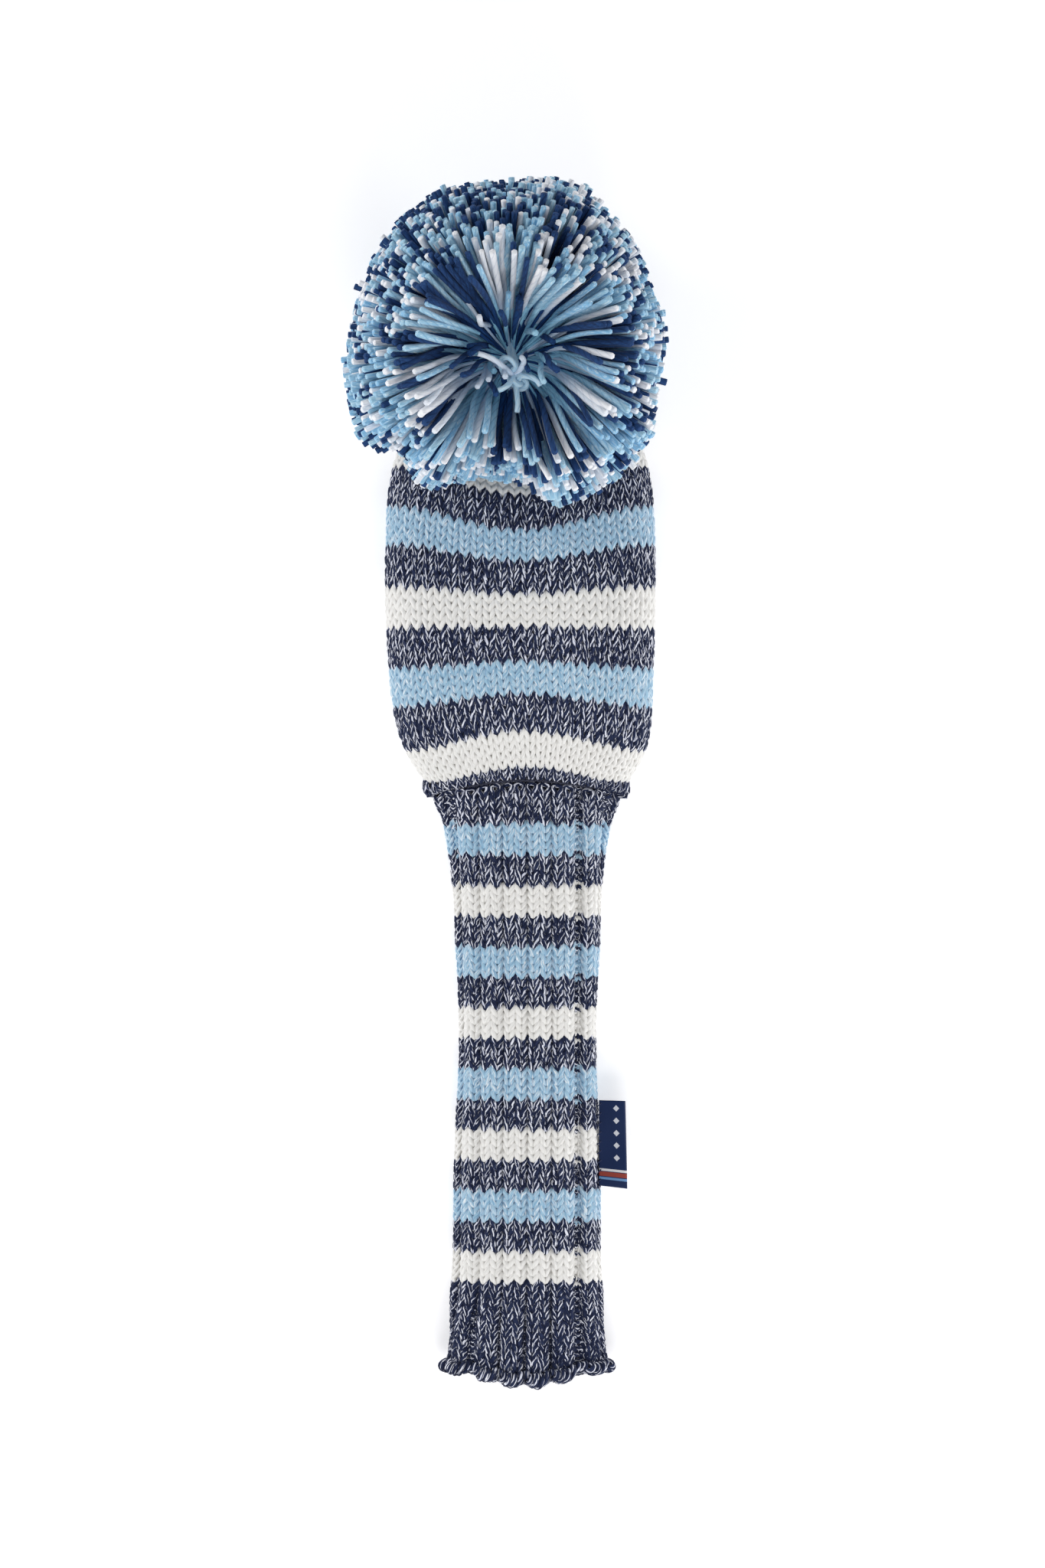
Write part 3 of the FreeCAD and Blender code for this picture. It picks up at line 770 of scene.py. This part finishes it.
def ring_on_skin(name, node, skin, v, out, radius, material, wave, points, sink=0.0):
    """A closed thread that follows the fabric at row v. Wave holds how many waves it makes and their size in
    rows and outwards. Sink is how much deeper it lies at the tube's two sides."""
    count, by_row, by_out = wave
    t = np.arange(points) / points
    turn = TURN * count * t
    side = smooth(1.4 * (1 - from_sides(t) / 0.13))
    centre, normal = skin.place(v + by_row * np.sin(turn), t, out + by_out * np.sin(2 * turn) - sink * side)
    tubes = Tubes(6)
    tubes.lay(centre, normal, radius, True, strip=60)
    stand_in(tubes.write(name, material), node)


def sheet(name, node, skin, rows, out, thickness, material, rough=0.0):
    """A closed band of cloth inside the fabric, with an inner and an outer face."""
    rng = np.random.default_rng(3)
    around = 220
    loop = np.arange(around) / around

    def face(depth):
        return [skin.place(np.full(around, v), loop, depth + rng.normal(0, rough, around))[0] for v in rows]

    points = np.array(face(out) + face(out - thickness)[::-1])
    lines = len(points)
    i, j, quads = net(lines, lines, around)
    bake = corners(i / lines, (i + 1) / lines, j / around, (j + 1) / around)
    maps = {"yarn": bake * (12, 1), "OFBake": bake}
    stand_in(write_mesh(name, points.reshape(-1, 3), quads, maps, material), node)


cast_on_edge()
ring_on_skin("linking_thread_stitches", "linking_thread", head, -0.10, -0.75, 0.36, THREAD,
             (100, 0.09, 0.22), 1600, sink=1.9)
sheet("elastic_band_weave", "elastic_band", sleeve, np.linspace(74.6, 78.2, 8), -4.4, 0.9, ELASTIC)
ring_on_skin("band_stitching_thread", "band_stitching", sleeve, 76.4, -5.65, 0.3, SEWING,
             (26, 1.1, 0.0), 900)
sheet("head_lining_fleece", "head_lining", head, np.linspace(1.5, head.rows - 3.5, 60), -4.6, 1.4, FLEECE,
      0.16)


# ---- pom-pom
BALL = np.array(JOINT["pompom_twist"]["pos_m"]) * 1000.0
TIE_AT = np.array(JOINT["pompom_tilt"]["pos_m"]) * 1000.0
FACING = unit(middle("pompom_knot") - CORE)
CUT = BALL + np.array([-0.3, 2.5, 0.0])  # the middle of the trimmed surface
BALL_RADIUS = 57.0
STRANDS = 4700  # all round the ball, before the dimple and the crown's place are left out
STRAND = 1.10  # their radius
SPLIT = 1300  # a colour with more strands is written as two pieces
BOWL = unit(np.array([0.04, -0.25, 0.97]))  # the middle of the dimple, seen from the ball's middle
OPENING = math.radians(41)  # from the dimple's middle to its rim
OVER_KNOT = 0.35  # radians from the dimple's middle that even loose strands leave free
NO_STRANDS = 0.35  # radians round the tie, where the crown is
LOOSE, STRAY = 0.11, 0.005  # shares of the strands that lean into the dimple, and that stick out
# Length of the outermost strands, by the angle in degrees from the sleeve's side towards +X. The ones over
# the head stand out in two lobes beside a gap.
OUTLINE = [(-180, 52.5), (-150, 54), (-110, 52.5), (-87, 55.5), (-67, 60), (-54, 65), (-40, 56.5), (-29, 64),
           (-20, 58), (-9, 51.5), (6, 54), (17, 65), (35, 65.5), (55, 63.5), (70, 58), (87, 56), (110, 53.5),
           (150, 57), (180, 52.5)]
FABRIC = Solids([n for n, _ in SLEEVE + HEAD])


def support(x, y):
    """Height of what lies below: the fabric or the floor."""
    found = FABRIC.hit((x, y, 300.0), (0, 0, -1))
    return FLOOR if found is None else max(FLOOR, found[2])


def angle_from(way, d):
    """Angle between each direction and way, in radians."""
    return np.arccos(np.clip(d @ way, -1, 1))


def strand_ends(rng):
    """Directions from the ball's middle spread evenly, without the dimple and the place of the crown."""
    k = np.arange(STRANDS) + 0.5
    polar = np.arccos(1 - 2 * k / STRANDS)
    about = math.pi * (1 + 5 ** 0.5) * k
    d = np.stack([np.cos(about) * np.sin(polar), np.sin(about) * np.sin(polar), np.cos(polar)], 1)
    d = unit(d + rng.normal(0, 0.016, d.shape))
    clump = np.stack([waves(21 + i, 24, 0.16)(d) for i in range(3)], 1)
    d = unit(d + 0.020 * clump)
    angle = angle_from(BOWL, d)
    rim = OPENING * (1 + 0.08 * waves(31, 12, 0.5)(d) + rng.normal(0, 0.10, len(d)))
    loose = (rng.random(len(d)) < LOOSE) & (angle > OVER_KNOT)
    off_crown = angle_from(unit(TIE_AT - BALL), d) > NO_STRANDS
    return d[((angle > rim) | loose) & off_crown]


def strand_colours(d, rng):
    """0 navy, 1 light blue, 2 pale, in small clumps, stronger in the dimple. Navy is rarer there and towards
    the head."""
    inner = smooth((OPENING + 0.35 - angle_from(BOWL, d)) / 0.35)
    value = ((0.5 + 0.35 * inner) * waves(41, 20, 0.10)(d) - 0.10 * inner + 0.15 * d[:, 1]
             + rng.normal(0, 0.7, len(d)))
    other = 0.5 * waves(42, 20, 0.12)(d) + rng.normal(0, 0.8, len(d))
    colour = np.where(other > np.quantile(other, 0.69), 2, 1)
    return np.where(value > np.quantile(value, 0.66), 0, colour)


def lay_strands(d, rng):
    """Middle lines of the strands from the binding to the ball's surface, lying on what they touch."""
    size = BALL_RADIUS + rng.normal(0, 0.75, len(d)) + 0.5 * waves(51, 16, 0.35)(d)
    stray = rng.random(len(d)) < STRAY
    size = size + stray * rng.uniform(1.5, 3.5, len(d))
    inside = angle_from(BOWL, d) < OPENING * 0.8
    size = size - inside * rng.uniform(12, 30, len(d))
    turn = np.degrees(np.arctan2(d[:, 0], -d[:, 1]))
    outline = np.interp(turn, *zip(*OUTLINE)) - BALL_RADIUS
    level = smooth((np.hypot(d[:, 0], d[:, 1]) - 0.45) / 0.45)
    down = smooth((-d[:, 1] - 0.05) / 0.6)
    size = size + level * outline + down * rng.normal(0, 0.8, len(d))
    tip = CUT + d * size[:, None]
    rest = np.array([support(x, y) for x, y in tip[:, :2]]) + 1.4
    tip[:, 2] = np.maximum(tip[:, 2], rest + rng.uniform(0, 2.5, len(d)))
    reach = tip - CORE
    long = np.linalg.norm(reach, axis=1, keepdims=True)
    facing_share = (reach @ FACING)[:, None]
    flat = unit(reach - facing_share * FACING + rng.normal(0, 0.4, reach.shape))
    start = CORE + flat * rng.uniform(1.5, 5.0, (len(d), 1)) + FACING * rng.uniform(-4, 7.5, (len(d), 1))
    bend = smooth((facing_share / long + 0.1) / 0.9)
    first = unit(flat * (0.35 + 1.3 * bend) + reach / long)
    last = unit(reach / long + 0.45 * d)
    p1 = start + first * long * 0.34 + rng.normal(0, 1.4, tip.shape)
    p2 = tip - last * long * 0.36 + rng.normal(0, 1.6, tip.shape)
    s = np.linspace(0, 1, 11)[None, :, None]
    line = ((1 - s) ** 3 * start[:, None] + 3 * (1 - s) ** 2 * s * p1[:, None]
            + 3 * (1 - s) * s ** 2 * p2[:, None] + s ** 3 * tip[:, None])
    flat_line = line.reshape(-1, 3)
    for i, (x, y, z) in enumerate(flat_line):
        if z < 45.0:
            flat_line[i, 2] = max(z, support(x, y) + STRAND + 0.1)
    return flat_line.reshape(line.shape)


def pompom():
    rng = np.random.default_rng(77)
    d = strand_ends(rng)
    colours = strand_colours(d, rng)
    lines = lay_strands(d, rng)
    hint = np.cross(unit(lines[:, -1] - lines[:, 0]), FACING)
    hint = unit(hint + 0.01 * rng.normal(size=hint.shape))
    s = np.linspace(0, 1, lines.shape[1])
    thick = STRAND * (0.36 + 0.64 * smooth(s / 0.62))[None] * (1 + rng.normal(0, 0.08, (len(d), 1)))
    thick[:, -1] *= 1.04
    a, b = frames(lines, np.broadcast_to(hint[:, None], lines.shape), False)
    shift = rng.uniform(0, 200, len(d))
    for index, (word, material) in enumerate((("navy", POM_NAVY), ("blue", POM_BLUE), ("pale", POM_PALE))):
        mine = np.nonzero(colours == index)[0]
        halves = np.array_split(mine, 2) if len(mine) > SPLIT else [mine]
        for half, chosen in enumerate(halves):
            tubes = Tubes(6)
            tubes.add(lines[chosen], a[chosen], b[chosen], thick[chosen], False, shift[chosen], strip=20)
            suffix = "_" + "ab"[half] if len(halves) > 1 else ""
            ob = tubes.write(f"pompom_{word}_strands{suffix}", material, aspect=8.0)
            stand_in(ob, "pompom_yarn", rides=False)
            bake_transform(ob)


def knotted(centre, size, points, lean):
    """A closed overhand knot round centre."""
    t = np.linspace(0, TURN, points, endpoint=False)
    r = 2 + np.cos(3 * t)
    p = np.stack([r * np.cos(2 * t), r * np.sin(2 * t), 1.4 * np.sin(3 * t)], 1) * size / 3.4
    z = unit(np.array(lean, float))
    x = unit(np.cross(z, (0.3, 0.9, 0.1)))
    return centre + p @ np.stack([x, np.cross(z, x), z])


def bent(start, direction, length, sag, rng):
    """A loose tail of yarn."""
    s = np.linspace(0, 1, 9)[:, None]
    side = unit(rng.normal(size=3))
    return start + unit(direction) * length * s + side * sag * np.sin(s * math.pi * 0.8)


def ties():
    """The knot and its tails, the binding, the loops that hold the pom-pom, and the crown's drawstring."""
    rng = np.random.default_rng(15)
    tubes = Tubes()

    def yarn(points, radius, closed=False):
        hint = unit(np.array([0.21, 0.33, 0.92]))
        tubes.lay(points, hint, radius, closed, shift=rng.uniform(0, 90), twist=1.0, lobe=0.05)

    def tail(turn, rise, length):
        way = FACING * rise + np.array([math.cos(turn), math.sin(turn), 0])
        yarn(bent(knot + FACING * 1.5, way, length, rng.uniform(2, 4), rng), 1.0)

    def done(name, node, material=TIE):
        nonlocal tubes
        stand_in(tubes.write(name, material), node)
        tubes = Tubes()

    knot = middle("pompom_knot") + FACING * 4.5 + np.array([0.0, -1.5, 0.0])
    yarn(knotted(knot, 4.2, 80, FACING), 1.05, True)
    yarn(knotted(knot + FACING * 2.2 + np.array([2.2, -1.5, 0]), 3.2, 60, FACING + [0.5, 0.4, 0]), 1.0, True)
    t = np.linspace(-2.7, 2.7, 24)[:, None]
    bow_way = unit(FACING * 0.35 + np.array([-0.45, 0.9, 0]))
    bow_side = np.array([0.9, 0.45, 0.1])
    yarn(knot + FACING * 2.0 + bow_way * 4.0 * (1 + np.cos(t)) + bow_side * 2.5 * np.sin(t), 1.0)
    for turn, rise, length in ((4.75, 0.5, 13.0), (3.6, 0.7, 9.0), (5.9, 0.4, 10.0)):
        tail(turn, rise, length)
    done("pompom_knot_yarn", "pompom_knot")

    tail(1.5, 1.1, 11.0)
    tail(2.5, 0.6, 17.0)
    done("pompom_knot_pale_yarn", "pompom_knot", POM_PALE)

    t = np.linspace(0, TURN * 5, 260)
    low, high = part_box("pompom_binding")
    size = (high.z - low.z) * 500.0 - 1.7
    x = unit(np.array([1.0, 0.3, 0.0]))
    y = np.cross(x, (0, 0, 1))
    yarn(CORE + np.outer(np.cos(t), y) * size + np.outer(np.sin(t), (0, 0, 1)) * size
         + np.outer(0.9 * np.sin(t * 0.4), x), 0.8)
    done("pompom_binding_yarn", "pompom_binding")

    axis = unit(BALL - TIE_AT)
    t = np.linspace(0, TURN, 40, endpoint=False)
    x = np.array([1.0, 0, 0])
    y = np.cross(axis, x)
    yarn(TIE_AT + axis * 3.6 + np.outer(np.cos(t), axis) * 2.4 + np.outer(np.sin(t), x) * 2.4, 0.85, True)
    for side in (-0.7, 0.7):
        s = np.linspace(0, 1, 24)[:, None]
        yarn(TIE_AT + axis * (6.0 + 11.5 * s) + x * side * np.cos(s * 9) + y * side * np.sin(s * 9), 0.75)
    done("pompom_hanger_yarn", "pompom_hanger")

    yarn(TIE_AT + np.stack([np.zeros(40), np.sin(t) * 3.2, np.cos(t) * 3.2], 1), 0.88, True)
    for side in (-0.6, 0.6):
        s = np.linspace(0, 1, 12)[:, None]
        yarn(TIE_AT - np.array([0, 1.0, 0]) * (3.0 + 3.4 * s) + x * side * (1 - s), 0.7)
    done("crown_loop_yarn", "crown_loop")

    yarn(knotted(middle("anchor_knot"), 1.6, 50, (0, 1, 0)), 0.75, True)
    done("anchor_knot_yarn", "anchor_knot")

    t = np.linspace(0, TURN, 90, endpoint=False)
    wavy = 5.8 + 0.5 * np.sin(9 * t)
    ring = np.stack([np.cos(t) * wavy, 0.4 * np.sin(9 * t + 1), np.sin(t) * wavy], 1)
    yarn(middle("crown_gather_thread") + ring, 0.9, True)
    done("crown_gather_yarn", "crown_gather_thread", THREAD)


pompom()
ties()


# ---- label
# Along the label, as shares of its height: bars as (from, to, colour), and where the lozenges lie.
BARS = ((0.178, 0.206, (0.80, 0.80, 0.82)), (0.118, 0.170, (0.33, 0.055, 0.035)),
        (0.080, 0.108, (0.16, 0.32, 0.58)))
MARKS_FROM, MARKS_TO, MARKS_PER_HEIGHT = 0.27, 0.9557, 7.0
TAPE, FOLD = 0.42, 0.62  # the tape's thickness, and half the distance between its two layers
ROOT, REACH = 2.6, 7.6  # how far the label goes into the fabric and stands out of it
LABEL_STITCHES = 9  # on each face


def label_material():
    """Navy satin weave with a pale, a red and a blue bar near one end, and a row of small pale lozenges."""
    g = Graph("woven_label")
    x, y = g.along_and_round("cloth")
    warp = g.maths("SINE", g.times(y, 520.0))
    weft = g.maths("SINE", g.times(x, 330.0))
    weave = g.ramp(g.times(warp, weft), -1.0, 1.0)
    tone = g.mix(weave, (0.004, 0.013, 0.062), (0.010, 0.028, 0.098))
    for low, high, colour in BARS:
        tone = g.mix(g.between(y, low, high), tone, g.mix(g.times(weave, 0.25), colour, (0.02, 0.02, 0.05)))
    # lozenges: |x - middle| + |y in a cell - half| below a limit
    cell = g.maths("FRACT", g.times(g.maths("SUBTRACT", y, MARKS_FROM), MARKS_PER_HEIGHT))
    dx = g.times(g.maths("ABSOLUTE", g.maths("SUBTRACT", x, 0.5)), 1.75)
    dy = g.maths("ABSOLUTE", g.maths("SUBTRACT", cell, 0.5))
    mark = g.maths("LESS_THAN", g.maths("ADD", dx, dy), 0.26)
    tone = g.mix(g.times(mark, g.between(y, MARKS_FROM, MARKS_TO)), tone, (0.62, 0.64, 0.70))
    return g.finish(tone, 0.5, 0.02, 0.2)


def side_label():
    """Tape folded in two layers, leaning and curled a little, and stitched at its root."""
    low, high = [np.array(v) * 1000.0 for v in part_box("side_label")]
    z, root, tip = (low[2] + high[2]) / 2, low[0] - ROOT, low[0] + REACH
    s = np.linspace(root, tip - FOLD - TAPE, 26)
    path = [(x, FOLD) for x in s]
    path += [(s[-1] + FOLD * math.sin(a), FOLD * math.cos(a)) for a in np.linspace(0, math.pi, 12)[1:-1]]
    path += [(x, -FOLD) for x in s[::-1]]
    path = np.array(path)
    way = unit(np.gradient(path, axis=0))
    side = np.stack([-way[:, 1], way[:, 0]], 1)
    outer, inner = path + side * TAPE / 2, path - side * TAPE / 2
    ring = join([outer, inner[::-1]])
    lines, across = len(ring), 72
    y = np.linspace(low[1], high[1], across)
    up = (y - y[0]) / (y[-1] - y[0])
    share = (ring[:, 0] - root) / (tip - root)
    grid = np.zeros((across, lines, 3))
    for i, f in enumerate(up):
        lean = (0.5 - f) * 0.7 * share
        sag = 0.9 * share * (1 - f)
        curl = 0.7 * share ** 2 * math.sin(3.2 * f + 0.5) + 0.35 * share * math.sin(9 * f)
        grid[i] = np.stack([ring[:, 0] + lean, y[i] - sag - 0.3 * share, z + ring[:, 1] + curl], 1)
    i, j, quads = net(across - 1, across, lines)
    out = np.clip((ring[:, 0] - (root + ROOT)) / (tip - root - ROOT), 0, 1)
    at = np.arange(lines + 1) / lines
    # corners() gives (up, out) and the maps are (out, up)
    cloth = corners(up[i], up[i + 1], out[j], out[(j + 1) % lines])[..., ::-1]
    bake = corners(up[i] * 0.9, up[i + 1] * 0.9, at[j], at[j + 1])[..., ::-1]
    # the cut ends close the tape between its outer and inner faces
    half = lines // 2
    caps, cap_cloth, cap_bake = [], [], []
    for end in (0, across - 1):
        bottom = 0.92 + 0.04 * (end > 0)
        for m in range(half - 1):
            points = [end * lines + q for q in (m, m + 1, lines - 2 - m, lines - 1 - m)]
            caps.append(points if end else points[::-1])
            cap_cloth.append([[0.5, up[end]]] * 4)
            cap_bake.append(corners(bottom, bottom + 0.03, m / half, m / half + 0.9 / half)[:, ::-1])
    maps = {"cloth": join([cloth, cap_cloth]), "OFBake": join([bake, cap_bake])}
    quads = join([quads, caps])
    ob = write_mesh("side_label_tape", grid.reshape(-1, 3), quads, maps, label_material())
    stand_in(ob, "side_label")

    tubes = Tubes(6)
    for k in range(LABEL_STITCHES):
        yy = high[1] - (high[1] - low[1]) * (k + 0.5) / LABEL_STITCHES
        for face in (-1, 1):
            zz = z + face * (FOLD + TAPE / 2 + 0.12)
            line = [[low[0] - 3.3 + 0.30 * q, yy + 0.25 * (q - 2.5), zz + face * 0.12 * math.sin(q * 0.63)]
                    for q in range(6)]
            tubes.lay(line, (0.0, 0.0, 1.0), 0.2, False)
    stand_in(tubes.write("label_stitching_thread", SEWING), "label_stitching")


side_label()


# ---- stage, in metres
LAMPS = (("key", (-1.5, 0.65, 0.75), (0.0, 0.23, 0.0), 0.9, 12.6),
         ("far side", (1.6, 0.10, 0.45), (0.0, 0.23, 0.0), 0.9, 10.8),
         ("mouth side", (0.15, -0.9, 1.0), (0.0, 0.33, 0.03), 0.8, 8.3))  # name, place, aim, width, watts
GLOW = 0.40  # strength of the floor's and the sky's own light
FLOOR_GAP = 0.0002  # under the part's lowest point
CAMERA_AT = (-0.0015, 0.219)
AWAY = 2.6  # from the camera to the plane that its field is measured in
PLANE = 0.015  # that plane's height above the surface the part lies on
FIELD = 0.5695  # what the camera sees of it along the picture's long side
SENSOR = 36.0  # in millimetres, as the lens is


def floor():
    g = Graph("floor")
    g.feed(g.shader, {"Base Color": (0.93, 0.93, 0.94), "Roughness": 0.9, "Specular IOR Level": 0.1,
                      "Emission Color": (0.985, 0.98, 0.985), "Emission Strength": GLOW})
    me = bpy.data.meshes.new("floor")
    z, r = FLOOR / 1000.0 - FLOOR_GAP, 6.0
    me.from_pydata([(-r, -r, z), (r, -r, z), (r, r, z), (-r, r, z)], [], [(0, 1, 2, 3)])
    me.materials.append(g.material)
    add("floor", me)


def lamp(name, place, aim, size, power):
    data = bpy.data.lights.new(name, "AREA")
    data.shape = "DISK"
    data.size, data.energy = size, power
    ob = add(name, data)
    ob.location = place
    ob.rotation_euler = (Vector(aim) - Vector(place)).to_track_quat("-Z", "Y").to_euler()


def camera():
    """Looks straight down on the cover."""
    data = bpy.data.cameras.new("camera")
    data.sensor_width = SENSOR
    data.lens = SENSOR * AWAY / FIELD
    ob = add("camera", data)
    ob.location = (*CAMERA_AT, FLOOR / 1000.0 + PLANE + AWAY)
    bpy.context.scene.camera = ob


def stage():
    floor()
    for values in LAMPS:
        lamp(*values)
    world = bpy.data.worlds.new("studio")
    world.use_nodes = True
    sky = world.node_tree.nodes["Background"].inputs
    sky["Color"].default_value = (0.98, 0.98, 0.99, 1)
    sky["Strength"].default_value = GLOW
    bpy.context.scene.world = world
    bpy.context.scene.view_settings.view_transform = "Standard"
    camera()


stage()
